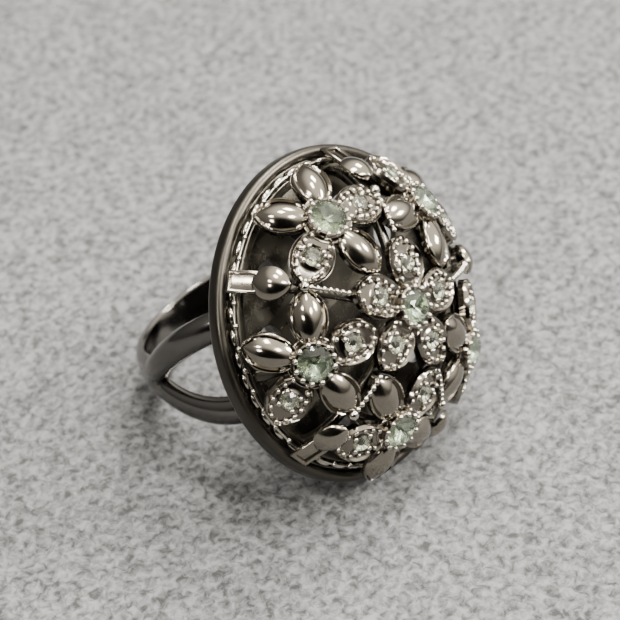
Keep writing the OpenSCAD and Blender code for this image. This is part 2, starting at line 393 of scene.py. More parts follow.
class NodeTools:
    """Geometry Nodes trees that make what repeats along a path."""

    def __init__(self) -> None:
        """Builds the trees once."""
        self.beads = self._bead_tree()
        self.sweep = self._sweep_tree()

    @staticmethod
    def _tree(name: str, inputs: dict[str, tuple[str, float | int | None]]) -> bpy.types.NodeTree:
        """New tree with a geometry input and output and the named inputs."""
        tree = bpy.data.node_groups.new(name, "GeometryNodeTree")
        tree.interface.new_socket("Geometry", in_out="INPUT", socket_type="NodeSocketGeometry")
        for label, (kind, value) in inputs.items():
            socket = tree.interface.new_socket(label, in_out="INPUT", socket_type=kind)
            if value is not None:
                socket.default_value = value
        tree.interface.new_socket("Geometry", in_out="OUTPUT", socket_type="NodeSocketGeometry")
        return tree

    @staticmethod
    def _close(tree: bpy.types.NodeTree, last: bpy.types.Node, output: str,
               start: bpy.types.Node) -> None:
        """Ends a tree in Realize Instances, smooth shading and Set Material."""
        real = add_node(tree, "GeometryNodeRealizeInstances")
        smooth = add_node(tree, "GeometryNodeSetShadeSmooth")
        dress = add_node(tree, "GeometryNodeSetMaterial")
        end = add_node(tree, "NodeGroupOutput")
        add_links(tree, (last, output, real, "Geometry"), (real, "Geometry", smooth, "Geometry"),
                  (smooth, "Geometry", dress, "Geometry"), (start, "Material", dress, "Material"),
                  (dress, "Geometry", end, "Geometry"))

    def _bead_tree(self) -> bpy.types.NodeTree:
        """Tree that sets a number of beads along a curve, stretched along it where asked."""
        tree = self._tree("beads_along_path", {
            "Count": ("NodeSocketInt", 12),
            "Bead radius": ("NodeSocketFloat", 0.25),
            "Stretch": ("NodeSocketFloat", 1.0),
            "Detail": ("NodeSocketInt", 2),
            "Material": ("NodeSocketMaterial", None),
        })
        start = add_node(tree, "NodeGroupInput")
        points = add_node(tree, "GeometryNodeCurveToPoints", mode="COUNT")
        ball = add_node(tree, "GeometryNodeMeshIcoSphere")
        spread = add_node(tree, "GeometryNodeInstanceOnPoints")
        size = add_node(tree, "ShaderNodeCombineXYZ")
        long = add_node(tree, "ShaderNodeMath", operation="MULTIPLY")
        add_links(tree, (start, "Geometry", points, "Curve"), (start, "Count", points, "Count"),
                  (start, "Detail", ball, "Subdivisions"), (start, "Bead radius", size, "X"),
                  (start, "Bead radius", size, "Y"), (start, "Bead radius", long, 0),
                  (start, "Stretch", long, 1), (long, "Value", size, "Z"),
                  (points, "Points", spread, "Points"), (points, "Rotation", spread, "Rotation"),
                  (ball, "Mesh", spread, "Instance"), (size, "Vector", spread, "Scale"))
        self._close(tree, spread, "Instances", start)
        return tree

    def _sweep_tree(self) -> bpy.types.NodeTree:
        """Tree that runs a rounded bar along a curve."""
        tree = self._tree("bar_along_path", {
            "Width": ("NodeSocketFloat", 0.8),
            "Thickness": ("NodeSocketFloat", 0.7),
            "Corner": ("NodeSocketFloat", 0.2),
            "Material": ("NodeSocketMaterial", None),
        })
        start = add_node(tree, "NodeGroupInput")
        section = add_node(tree, "GeometryNodeCurvePrimitiveQuadrilateral")
        corner = add_node(tree, "GeometryNodeFilletCurve", {"Count": 3}, mode="POLY")
        sweep = add_node(tree, "GeometryNodeCurveToMesh", {"Fill Caps": True})
        add_links(tree, (start, "Width", section, "Width"), (start, "Thickness", section, "Height"),
                  (section, "Curve", corner, "Curve"), (start, "Corner", corner, "Radius"),
                  (start, "Geometry", sweep, "Curve"), (corner, "Curve", sweep, "Profile Curve"))
        self._close(tree, sweep, "Mesh", start)
        return tree

    @staticmethod
    def _run(path: Sequence[Point], closed: bool, tree: bpy.types.NodeTree,
             values: dict[str, float | int | bpy.types.Material]) -> bpy.types.Mesh:
        """Applies a tree to a path and returns the plain mesh that it makes."""
        curve = bpy.data.curves.new("path", "CURVE")
        curve.dimensions = "3D"
        spline = curve.splines.new("POLY")
        spline.points.add(len(path) - 1)
        for point, place in zip(spline.points, path):
            point.co = (*place, 1.0)
        spline.use_cyclic_u = closed
        carrier = bpy.data.objects.new("path", curve)
        bpy.context.scene.collection.objects.link(carrier)
        modifier = carrier.modifiers.new("nodes", "NODES")
        modifier.node_group = tree
        for item in tree.interface.items_tree:
            if item.item_type == "SOCKET" and item.in_out == "INPUT" and item.name in values:
                modifier[item.identifier] = values[item.name]
        graph = bpy.context.evaluated_depsgraph_get()
        mesh = bpy.data.meshes.new_from_object(carrier.evaluated_get(graph), depsgraph=graph)
        carrier.modifiers.remove(modifier)
        bpy.data.objects.remove(carrier)
        bpy.data.curves.remove(curve)
        return mesh

    def bead_row(self, path: Sequence[Point], count: int, radius: float, closed: bool = False,
                 stretch: float = 1.0, detail: int = 2) -> bpy.types.Mesh:
        """Row of beads along a path.

        Args:
            path: The path's points.
            count: Number of beads.
            radius: Radius of a bead.
            closed: Whether the path closes on itself.
            stretch: How many times longer than wide a bead is, along the path.
            detail: Subdivisions of each bead.

        Returns:
            The beads as one plain mesh.
        """
        values = {"Count": count, "Bead radius": radius, "Stretch": stretch, "Detail": detail}
        return self._run(path, closed, self.beads, values)

    def bar(self, path: Sequence[Point], width: float, thickness: float, corner: float,
            closed: bool = False) -> bpy.types.Mesh:
        """Rounded bar along a path.

        Args:
            path: The path's points.
            width: Width of its section.
            thickness: Thickness of its section.
            corner: Radius of the section's corners.
            closed: Whether the path closes on itself.

        Returns:
            The bar as one plain mesh.
        """
        values = {"Width": width, "Thickness": thickness, "Corner": corner}
        return self._run(path, closed, self.sweep, values)


def ring_path(radius: float, z: float, count: int = 96, phase: float = 0.0) -> list[Point]:
    """Points of a circle round Z.

    Args:
        radius: Its radius.
        z: Its height.
        count: Number of points.
        phase: Angle of the first point in radians.

    Returns:
        The points.
    """
    angles = [phase + 2 * math.pi * k / count for k in range(count)]
    return [(radius * math.cos(a), radius * math.sin(a), z) for a in angles]


# ---------------------------------------------------------------------------------------------
# Finishes
# ---------------------------------------------------------------------------------------------


class ShaderTools:
    """Shader node groups that more than one finish uses."""

    def __init__(self) -> None:
        """Builds the groups once."""
        self.wear = self._wear_group()

    @staticmethod
    def _wear_group() -> bpy.types.NodeTree:
        """Group that clouds and scratches a plated surface and paints shade into its hollows."""
        tree = bpy.data.node_groups.new("plating_wear", "ShaderNodeTree")
        sockets = {
            "Tone": ("NodeSocketColor", (0.5, 0.46, 0.4, 1)),
            "Clouded tone": ("NodeSocketColor", (0.4, 0.37, 0.33, 1)),
            # Colour of the shade painted into dips and dishes:
            "Painted shade tone": ("NodeSocketColor", (0.06, 0.055, 0.05, 1)),
            "Cloud size": ("NodeSocketFloat", 350.0),
            "Smoothest": ("NodeSocketFloat", 0.06),
            "Roughest": ("NodeSocketFloat", 0.2),
            "Scratch height": ("NodeSocketFloat", 0.1),
        }
        for label, (kind, value) in sockets.items():
            tree.interface.new_socket(label, in_out="INPUT", socket_type=kind).default_value = value
        for label, kind in (("Color", "NodeSocketColor"), ("Roughness", "NodeSocketFloat"),
                            ("Normal", "NodeSocketVector")):
            tree.interface.new_socket(label, in_out="OUTPUT", socket_type=kind)
        start = add_node(tree, "NodeGroupInput")
        end = add_node(tree, "NodeGroupOutput")
        place = add_node(tree, "ShaderNodeTexCoord")
        clouds = add_node(tree, "ShaderNodeTexNoise", {"Detail": 5, "Roughness": 0.6})
        stretch = add_node(tree, "ShaderNodeMapping",
                           {"Scale": (1.0, 14.0, 1.0), "Rotation": (0.4, 0.9, 0.6)})
        scratches = add_node(tree, "ShaderNodeTexNoise", {"Scale": 900, "Detail": 3})
        wave = add_node(tree, "ShaderNodeTexNoise", {"Scale": 700, "Detail": 1})
        # Painted shade: each corner's shade value mixes the colour towards the dark painted shade
        # tone.
        hollow_shade = add_node(tree, "ShaderNodeAttribute", attribute_name="hollow_shade")
        cloud_mix = add_node(tree, "ShaderNodeMix", data_type="RGBA")
        shade_mix = add_node(tree, "ShaderNodeMix", data_type="RGBA")
        gloss = add_node(tree, "ShaderNodeMapRange", {"From Min": 0.35, "From Max": 0.7})
        fine = add_node(tree, "ShaderNodeBump", {"Distance": 1.5e-5})
        broad = add_node(tree, "ShaderNodeBump", {"Distance": 3e-5, "Strength": 0.25})
        add_links(tree, (place, "Object", clouds, "Vector"), (place, "Object", wave, "Vector"),
                  (place, "Object", stretch, "Vector"), (stretch, "Vector", scratches, "Vector"),
                  (start, "Cloud size", clouds, "Scale"), (clouds, "Fac", cloud_mix, "Factor"),
                  (start, "Tone", cloud_mix, "A"), (start, "Clouded tone", cloud_mix, "B"),
                  (hollow_shade, "Fac", shade_mix, "Factor"), (cloud_mix, "Result", shade_mix, "A"),
                  (start, "Painted shade tone", shade_mix, "B"), (shade_mix, "Result", end, "Color"),
                  (clouds, "Fac", gloss, "Value"), (start, "Smoothest", gloss, "To Min"),
                  (start, "Roughest", gloss, "To Max"), (gloss, "Result", end, "Roughness"),
                  (wave, "Fac", broad, "Height"), (scratches, "Fac", fine, "Height"),
                  (start, "Scratch height", fine, "Strength"), (broad, "Normal", fine, "Normal"),
                  (fine, "Normal", end, "Normal"))
        return tree


@dataclass(frozen=True)
class Plating:
    """Polished plated metal, clouded by wear, with shade painted into its hollows."""

    name: str
    tone: Point
    clouded: Point
    # Colour of the shade painted into dips and dishes.
    hollow_shade: Point = (0.035, 0.03, 0.025)
    cloud_size: float = 350.0
    smoothest: float = 0.05
    roughest: float = 0.18
    scratch: float = 0.12
    lacquer: float = 0.0

    def build(self, tools: ShaderTools) -> bpy.types.Material:
        """Makes the material.

        Args:
            tools: The shared shader groups.

        Returns:
            The material.
        """
        material, tree, shader = new_material(self.name)
        set_inputs(shader, {"Metallic": 1.0, "Coat Weight": self.lacquer,
                            "Coat Roughness": 0.03, "Coat IOR": 1.7})
        wear = add_node(tree, "ShaderNodeGroup", {
            "Tone": (*self.tone, 1),
            "Clouded tone": (*self.clouded, 1),
            "Painted shade tone": (*self.hollow_shade, 1),
            "Cloud size": self.cloud_size,
            "Smoothest": self.smoothest,
            "Roughest": self.roughest,
            "Scratch height": self.scratch,
        }, node_tree=tools.wear)
        add_links(tree, (wear, "Color", shader, "Base Color"),
                  (wear, "Roughness", shader, "Roughness"), (wear, "Normal", shader, "Normal"))
        return material


@dataclass(frozen=True)
class CutGlass:
    """Clear cut glass with a faint tint."""

    name: str
    tint: Point
    ior: float = 1.58
    roughness: float = 0.02
    deepest: float = 0.86  # share of the tint where the glass is darkest

    def build(self) -> bpy.types.Material:
        """Makes the material."""
        material, tree, shader = new_material(self.name)
        set_inputs(shader, {"Transmission Weight": 1.0, "IOR": self.ior,
                            "Roughness": self.roughness})
        haze = add_node(tree, "ShaderNodeTexNoise", {"Scale": 500})
        place = add_node(tree, "ShaderNodeTexCoord")
        mix = add_node(tree, "ShaderNodeMix", data_type="RGBA")
        set_inputs(mix, {"A": (*self.tint, 1), "B": (*[c * self.deepest for c in self.tint], 1)})
        add_links(tree, (place, "Object", haze, "Vector"), (haze, "Fac", mix, "Factor"),
                  (mix, "Result", shader, "Base Color"))
        return material


@dataclass
class Finishes:
    """Every finish of the ring."""

    petal: bpy.types.Material
    bead: bpy.types.Material
    rim: bpy.types.Material
    band: bpy.types.Material
    inner: bpy.types.Material
    glass: bpy.types.Material
    small_glass: bpy.types.Material
    foil: bpy.types.Material

    @classmethod
    def build(cls) -> Finishes:
        """Makes every material once."""
        tools = ShaderTools()
        # Petal plating: its third colour is painted shade for the set petals' dishes.
        petal = Plating("petal_plating", (0.255, 0.231, 0.190), (0.17, 0.153, 0.124),
                        hollow_shade=(0.12, 0.11, 0.093), smoothest=0.08, roughest=0.20, lacquer=0.25)
        bead = Plating("bead_plating", (0.47, 0.44, 0.38), (0.36, 0.335, 0.29), smoothest=0.08,
                       roughest=0.24, lacquer=0.4)
        rim = Plating("rim_plating", (0.064, 0.059, 0.050), (0.047, 0.043, 0.037), smoothest=0.28,
                      roughest=0.45)
        band = Plating("band_plating", (0.145, 0.14, 0.131), (0.105, 0.10, 0.094), cloud_size=180.0,
                       smoothest=0.10, roughest=0.24, scratch=0.2)
        inner = Plating("inner_plating", (0.115, 0.108, 0.09), (0.058, 0.054, 0.044),
                        smoothest=0.16, roughest=0.42)
        foil = Plating("stone_foil", (0.78, 0.79, 0.71), (0.62, 0.61, 0.48), smoothest=0.10,
                       roughest=0.30)
        return cls(
            petal=petal.build(tools),
            bead=bead.build(tools),
            rim=rim.build(tools),
            band=band.build(tools),
            inner=inner.build(tools),
            glass=CutGlass("middle_stone_glass", (0.46, 0.58, 0.50)).build(),
            small_glass=CutGlass("petal_stone_glass", (0.84, 0.90, 0.85)).build(),
            foil=foil.build(tools),
        )


# ---------------------------------------------------------------------------------------------
# Band
# ---------------------------------------------------------------------------------------------


@dataclass
class SplitBand:
    """The split band: one strap at the bottom that parts into two hoops."""

    sizes: RingSizes
    width: float = 4.4
    branch_width: float = 2.6
    branch_offset: float = 3.9
    split_angle: float = math.radians(62)
    spread_angle: float = math.radians(126)
    edge_share: float = 0.42  # height of the section's edge as a share of its thickness
    inside_round: float = 0.16  # how far the inside curves away at the edges, as a share too
    crown_power: float = 2.2
    fork_offset: float = 1.1  # the branches have sections of their own past this offset
    steps: int = 240
    across: int = 14
    seam: float = 1e-6  # corners nearer the middle plane than this lie on it

    def branch_middle(self, angle: float) -> float:
        """Distance of a branch's centre line from the band's middle plane."""
        share = (angle - self.split_angle) / (self.spread_angle - self.split_angle)
        return self.branch_offset * math.sin(math.pi / 2 * min(1.0, max(0.0, share)))

    def section(self, angle: float) -> list[tuple[float, float]]:
        """Half of the band's section, as a closed loop of Y and radius.

        Args:
            angle: Angle from the bottom of the band.

        Returns:
            The loop's points, along the inside, round the edge, and back over the crown.
        """
        middle = self.branch_middle(angle)
        outer = max(self.width / 2, middle + self.branch_width / 2)
        inner = max(0.0, middle - self.branch_width / 2)
        apart = smooth_step(0.0, self.fork_offset, middle)
        thickness = self.sizes.band_r - self.sizes.finger_r
        half = (outer - inner) / 2
        loop = []
        for k in range(2 * self.across):
            top = k >= self.across
            t = (k - self.across) / (self.across - 1) if top else k / (self.across - 1)
            y = (outer - (outer - inner) * t) if top else (inner + (outer - inner) * t)
            own = abs((y - inner) / half - 1) if half else 0.0
            shared = y / outer
            lateral = shared + (own - shared) * apart
            crown = math.sqrt(max(0.0, 1 - min(1.0, lateral) ** self.crown_power))
            if top:
                height = self.edge_share + (1 - self.edge_share) * crown
            else:
                height = self.inside_round * (1 - crown ** 0.5)
            loop.append((y, self.sizes.finger_r + thickness * height))
        return loop

    def build(self, finishes: Finishes) -> bpy.types.Object:
        """Makes the band as one closed skin.

        Args:
            finishes: The ring's finishes.

        Returns:
            The finished piece.
        """
        builder = MeshBuilder()
        loop_size = 2 * self.across
        for side in (-1, 1):
            points = []
            for s in range(self.steps):
                turn = 2 * math.pi * s / self.steps
                angle = min(turn, 2 * math.pi - turn)
                for y, r in self.section(angle):
                    points.append((r * math.sin(turn), side * y,
                                   -self.sizes.depth - r * math.cos(turn)))
            faces = []
            for face in grid_faces(self.steps, loop_size, wrap_rows=True, wrap_columns=True):
                if any(abs(points[i][1]) > self.seam for i in face):
                    faces.append(face)
            builder.add(points, faces)
        piece = builder.finish("split_band", self.sizes, [finishes.band], sharp=50)
        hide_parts("shank")
        return piece


@dataclass
class Saddle:
    """The bridge between the hoops and the back plate."""

    sizes: RingSizes
    half_width: float = 5.2
    tongue_half: float = 2.6
    plate_low: float = -0.35
    drop: float = 2.3
    corner: float = 0.18
    seat_steps: int = 16

    def build(self, finishes: Finishes) -> bpy.types.Object:
        """Makes the bridge on the hoops, and its tongue down to the finger hole between them.

        Args:
            finishes: The ring's finishes.

        Returns:
            The finished piece.
        """
        builder = MeshBuilder()
        builder.add_mesh(self.block(self.sizes.band_r, self.plate_low - self.drop, self.half_width))
        tongue_low = self.plate_low - self.drop - self.sizes.band_r
        builder.add_mesh(self.block(self.sizes.finger_r, tongue_low, self.tongue_half))
        piece = builder.finish("saddle_bridge", self.sizes, [finishes.band])
        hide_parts("saddle")
        return piece

    def block(self, seat_r: float, bottom: float, half_width: float) -> bpy.types.Mesh:
        """Makes a block under the plate, hollowed out by a cylinder round the finger hole's axis.

        Args:
            seat_r: Radius of the cylinder.
            bottom: Height of the block's underside.
            half_width: Half of its width along the finger hole's axis.

        Returns:
            The block's mesh.
        """
        half = self.sizes.saddle_half - self.corner
        edge = math.asin(min(1.0, half / seat_r))
        low = max(bottom + self.corner, seat_r * math.cos(edge) - self.sizes.depth)
        edge = min(edge, math.acos(min(1.0, (low + self.sizes.depth) / seat_r)))
        top = self.plate_low - self.corner
        outline = [(-half, top), (half, top), (half, low)]
        for k in range(self.seat_steps + 1):
            a = edge - 2 * edge * k / self.seat_steps
            outline.append((seat_r * math.sin(a), -self.sizes.depth + seat_r * math.cos(a)))
        outline.append((-half, low))
        count = len(outline)
        width = half_width - self.corner
        points = [(x, side * width, z) for side in (-1, 1) for x, z in outline]
        faces: list[tuple[int, ...]] = [tuple(range(count))]
        faces.append(tuple(range(2 * count - 1, count - 1, -1)))
        faces += [(k, (k + 1) % count, count + (k + 1) % count, count + k) for k in range(count)]
        shape = bmesh.new()
        corners = [shape.verts.new(p) for p in points]
        for face in faces:
            shape.faces.new([corners[i] for i in face])
        bmesh.ops.recalc_face_normals(shape, faces=shape.faces)
        sharp = [e for e in shape.edges if e.calc_face_angle(0) > math.radians(35)]
        bmesh.ops.bevel(shape, geom=sharp, offset=self.corner, segments=3, profile=0.5,
                        affect="EDGES")
        mesh = bpy.data.meshes.new("saddle_block")
        shape.to_mesh(mesh)
        shape.free()
        return mesh


# ---------------------------------------------------------------------------------------------
# Head
# ---------------------------------------------------------------------------------------------


@dataclass
class Head:
    """The rim, the pierced back plate and the two rows inside the rim."""

    sizes: RingSizes
    nodes: NodeTools
    rim_w: float = 1.0
    rim_h: float = 1.5
    ledge_w: float = 0.8
    ledge_t: float = 0.4
    ledge_edge: float = 0.06
    ledge_root: float = 0.1  # how far the ledge runs into the rim
    plate_t: float = 0.7
    plate_edge: float = 0.07
    piercings: int = 10
    piercing_r: float = 1.3
    piercings_at: float = 0.66  # share of the plate's radius
    bars: int = 44
    bar_r: float = 0.28
    bar_stretch: float = 2.4
    bar_lift: float = 0.06
    bead_r: float = 0.25
    wire_r: float = 0.11
    wire_lift: float = 0.14

    def rim(self, finishes: Finishes) -> bpy.types.Object:
        """Makes the rounded rim with its inner ledge."""
        straight = (self.rim_h - self.rim_w) / 2
        middle = self.sizes.rim_r - self.rim_w / 2
        inner = self.sizes.rim_r - self.rim_w
        steps = 14
        profile = [(middle + self.rim_w / 2 * math.cos(a), straight + self.rim_w / 2 * math.sin(a))
                   for a in (math.pi * k / steps for k in range(steps + 1))]
        ledge_top = -self.plate_t / 2
        ledge_low = ledge_top - self.ledge_t
        tip, edge, root = inner - self.ledge_w, self.ledge_edge, inner + self.ledge_root
        profile += [(inner, ledge_top), (tip + edge, ledge_top), (tip, ledge_top - edge),
                    (tip, ledge_low + edge), (tip + edge, ledge_low), (root, ledge_low)]
        low = [(middle + self.rim_w / 2 * math.cos(a), -straight + self.rim_w / 2 * math.sin(a))
               for a in (math.pi * (1 + k / steps) for k in range(steps + 1))]
        profile += [p for p in low if p[0] > root]
        builder = MeshBuilder()
        builder.add(*lathe(profile, 256))
        piece = builder.finish("rim", self.sizes, [finishes.rim])
        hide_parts("rim_band")
        return piece

    def plate(self, finishes: Finishes) -> bpy.types.Object:
        """Makes the back plate with its round piercings."""
        edge = self.plate_edge
        curve = bpy.data.curves.new("plate_outline", "CURVE")
        curve.dimensions = "2D"
        curve.fill_mode = "BOTH"
        curve.extrude = self.plate_t / 2 - edge
        curve.bevel_depth = edge
        curve.bevel_resolution = 2
        circles = [((0.0, 0.0), self.sizes.plate_r - edge, 160)]
        ring_at = self.piercings_at * self.sizes.plate_r
        for k in range(self.piercings):
            a = 2 * math.pi * (k + 0.5) / self.piercings
            middle = (ring_at * math.cos(a), ring_at * math.sin(a))
            circles.append((middle, self.piercing_r + edge, 40))
        for (x, y), radius, count in circles:
            spline = curve.splines.new("POLY")
            spline.points.add(count - 1)
            for point, (px, py, _) in zip(spline.points, ring_path(radius, 0.0, count)):
                point.co = (x + px, y + py, 0.0, 1.0)
            spline.use_cyclic_u = True
        carrier = bpy.data.objects.new("plate_outline", curve)
        bpy.context.scene.collection.objects.link(carrier)
        graph = bpy.context.evaluated_depsgraph_get()
        mesh = bpy.data.meshes.new_from_object(carrier.evaluated_get(graph), depsgraph=graph)
        bpy.data.objects.remove(carrier)
        builder = MeshBuilder()
        builder.add_mesh(mesh)
        piece = builder.finish("pierced_back_plate", self.sizes, [finishes.inner], sharp=30)
        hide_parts("back_plate")
        return piece

    def rows(self, finishes: Finishes) -> list[bpy.types.Object]:
        """Makes the row of oblong bars and the beaded wire above it."""
        bar_z = self.plate_t / 2 + self.bar_r
        wire_z = bar_z + self.bar_r + self.wire_lift
        pitch = 2 * math.pi / self.bars
        path = ring_path(self.sizes.row_r, bar_z + self.bar_lift, self.bars * 4)
        bars = MeshBuilder()
        bars.add_mesh(self.nodes.bead_row(path, self.bars, self.bar_r, True,
                                          stretch=self.bar_stretch, detail=3))
        row = bars.finish("rim_bar_row", self.sizes, [finishes.bead])
        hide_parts("rim_bars")
        path = ring_path(self.sizes.row_r, wire_z, self.bars * 4, pitch / 2)
        beads = MeshBuilder()
        beads.add_mesh(self.nodes.bead_row(path, self.bars, self.bead_r, True, detail=3))
        width = 2 * self.wire_r
        beads.add_mesh(self.nodes.bar(path, width, width, 0.45 * width, True))
        wire = beads.finish("rim_bead_wire", self.sizes, [finishes.bead])
        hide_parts("rim_beads")
        return [row, wire]


@dataclass
class OpenFrame:
    """The open frame of ribs and seats under the flowers."""

    sizes: RingSizes
    dome: Dome
    nodes: NodeTools
    flower_lat: float
    flower_azimuths: Sequence[float]
    leaf_azimuths: Sequence[float]
    rib_w: float = 0.8
    rib_t: float = 0.7
    rib_drop: float = 0.4
    rib_corner: float = 0.22
    rib_foot: float = math.radians(5)
    rib_top: float = math.radians(84)
    seat_r: float = 1.75
    seat_t: float = 0.9
    seat_hole_r: float = 0.87
    seat_corner: float = 0.12
    hoop_corner: float = 0.2
    post_r: float = 0.36
    post_corner: float = 0.05
    foot_w: float = 0.75
    foot_h: float = 0.8
    foot_corner: float = 0.15

    def rib(self, azimuth: float, start: float, end: float) -> bpy.types.Mesh:
        """One rib in a plane through the axis, between two heights on the dome."""
        steps = 14
        turn = Matrix.Rotation(azimuth, 4, "Z")
        lift = -self.rib_drop - self.rib_t / 2
        path = [tuple(turn @ self.dome.point(start + (end - start) * k / steps, lift))
                for k in range(steps + 1)]
        return self.nodes.bar(path, self.rib_w, self.rib_t, self.rib_corner)

    def build(self, finishes: Finishes, knob_lat: float, leaf_lat: float) -> bpy.types.Object:
        """Makes the frame.

        Args:
            finishes: The ring's finishes.
            knob_lat: Height on the dome of the posts under the wires' knobs.
            leaf_lat: Height on the dome of the posts under the leaves.

        Returns:
            The finished piece.
        """
        builder = MeshBuilder()
        foot_r, foot_z = self.sizes.foot_r, self.dome.foot_z
        foot = rounded_profile((foot_r - self.foot_w, foot_z), (foot_r, foot_z + self.foot_h),
                               self.foot_corner)
        builder.add(*lathe(foot, 160))
        middle = self.dome.point(self.flower_lat, -self.rib_drop - self.rib_t / 2)
        half = self.rib_t / 2
        hoop = rounded_profile((middle.x - half, middle.z - half),
                               (middle.x + half, middle.z + half), self.hoop_corner)
        builder.add(*lathe(hoop, 160))
        seat = rounded_profile((self.seat_hole_r, -self.seat_t), (self.seat_r, 0.0),
                               self.seat_corner)
        seat_shape = lathe(seat, 48)
        builder.add(*seat_shape, place=self.dome.stand(0.0, math.pi / 2))
        post = rounded_profile((0.001, 0.0), (self.post_r, 1.0), self.post_corner)
        for flower_at in self.flower_azimuths:
            builder.add_mesh(self.rib(flower_at, self.rib_foot, self.flower_lat))
            builder.add(*seat_shape, place=self.dome.stand(flower_at, self.flower_lat))
        for leaf_at in self.leaf_azimuths:
            builder.add_mesh(self.rib(leaf_at, self.rib_foot, self.rib_top))
            for lat in (knob_lat, leaf_lat):
                place = self.dome.stand(leaf_at, lat, -self.rib_drop - half)
                builder.add(*lathe(post, 20), place=place)
        piece = builder.finish("open_dome_frame", self.sizes, [finishes.inner])
        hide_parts("dome_frame")
        return piece


# ---------------------------------------------------------------------------------------------
# Stones
# ---------------------------------------------------------------------------------------------


@dataclass(frozen=True)
class Brilliant:
    """Round brilliant-cut stone with eight main facets."""

    radius: float
    crown: float
    edge: float
    below: float
    table_share: float = 0.56

    def add_to(self, builder: MeshBuilder, place: Matrix, turn: float = 0.0) -> None:
        """Adds the stone: its crown in slot 0 and its foil-backed facets in slot 1.

        Args:
            builder: Where to add it.
            place: Where its edge's underside stands.
            turn: Its turn about its own axis in radians.
        """
        r = self.radius
        # Each ring of corners: how many, their radius, their height, and their turn in steps.
        rings = (
            (8, self.table_share * r, self.edge + self.crown, 0.0),
            (8, 0.79 * r, self.edge + 0.56 * self.crown, 0.5),
            (16, r, self.edge, 0.0),
            (16, r, 0.0, 0.0),
            (8, 0.62 * r, -0.42 * self.below, 0.5),
            (8, 0.10 * r, -self.below, 0.5),
        )
        shape = bmesh.new()
        for count, radius, z, phase in rings:
            for k in range(count):
                a = turn + 2 * math.pi * (k + phase) / count
                shape.verts.new((radius * math.cos(a), radius * math.sin(a), z))
        bmesh.ops.convex_hull(shape, input=shape.verts)
        shape.verts.ensure_lookup_table()
        shape.verts.index_update()
        points = [tuple(v.co) for v in shape.verts]
        for facing_up in (True, False):
            faces = [tuple(v.index for v in f.verts) for f in shape.faces
                     if (f.calc_center_median().z > -0.02 * r) == facing_up]
            builder.add(points, faces, place, 0 if facing_up else 1)
        shape.free()


# ---------------------------------------------------------------------------------------------
# Flowers
# ---------------------------------------------------------------------------------------------


class PetalKind(Enum):
    """The two kinds of petal."""

    PLAIN = "plain"
    SET = "set"


@dataclass(frozen=True)
class Almond:
    """A plump plate with two ends, the outer one pointed."""

    length: float
    width: float
    blunt: float = 0.55
    point: float = 0.78
    bend: float = 0.2
    peak: float = 0.54
    fall_off: float = 0.8  # how much lower the swell is at the two ends
    roundness: float = 2.1

    def half_width(self, t: float) -> float:
        """Half of its width at a share of its length, from the root to the tip."""
        side = (self.peak - t) / self.peak if t < self.peak else (t - self.peak) / (1 - self.peak)
        power = self.blunt if t < self.peak else self.point
        return self.width / 2 * max(0.0, 1 - side**self.roundness) ** power

    def puff(self, x: float, edge: float, border: float) -> float:
        """How far the plate's top swells inside its border, from 0 to 1, both across and along.

        Args:
            x: Distance from the root.
            edge: Distance from the outline.
            border: Width of the flat border.

        Returns:
            The share of the full swell.
        """
        t = x / self.length
        share = (edge - border) / max(0.05, self.half_width(t) - border)
        across = 1 - (1 - min(1.0, max(0.0, share))) ** 2
        return across * (1 - self.fall_off * (2 * t - 1) ** 2)

    def skin(self, top: Callable[[float, float, float], tuple[float, float]], rows: int = 36,
             columns: int = 20) -> tuple[list[Point], list[tuple[int, ...]], list[float]]:
        """Closed skin of the plate.

        Args:
            top: Gives the height and the painted-shade value for a place along it, a place across
                it
            and the distance from its outline.
            rows: Steps along it.
            columns: Steps across it.

        Returns:
            Corners, faces and painted-shade values.
        """
        points: list[Point] = []
        hollow_shade: list[float] = []
        for layer in (1, 0):
            for r in range(rows + 1):
                t = 0.5 - 0.5 * math.cos(math.pi * r / rows)
                half = self.half_width(t)
                for c in range(columns + 1):
                    share = -math.cos(math.pi * c / columns)
                    x, y = t * self.length, share * half
                    edge = half - abs(y)
                    height, deep = top(x, y, edge) if layer else (0.0, 0.0)
                    bow = self.bend * (1 - (2 * t - 1) ** 2)
                    points.append((x, y, height + bow))
                    hollow_shade.append(deep)
        size = (rows + 1) * (columns + 1)
        faces = grid_faces(rows + 1, columns + 1)
        faces += [tuple(reversed([size + i for i in f])) for f in grid_faces(rows + 1, columns + 1)]
        border = list(range(columns + 1))
        border += [r * (columns + 1) + columns for r in range(1, rows + 1)]
        border += [rows * (columns + 1) + c for c in range(columns - 1, -1, -1)]
        border += [r * (columns + 1) for r in range(rows - 1, 0, -1)]
        for k, i in enumerate(border):
            j = border[(k + 1) % len(border)]
            faces.append((i, size + i, size + j, j))
        return points, faces, hollow_shade

    def outline(self, inset: float, count: int, z: float) -> list[Point]:
        """Closed path inside its outline.

        Args:
            inset: Distance from the outline.
            count: Steps along each side.
            z: Height of the path.

        Returns:
            The path's points.
        """
        sides: list[list[Point]] = []
        for side in (-1, 1):
            points = []
            for k in range(count + 1):
                t = 0.5 - 0.5 * math.cos(math.pi * k / count)
                half = self.half_width(t) - inset
                if half > 0.02:
                    bow = self.bend * (1 - (2 * t - 1) ** 2)
                    points.append((t * self.length, side * half, z + bow))
            sides.append(points)
        return sides[0] + list(reversed(sides[1]))


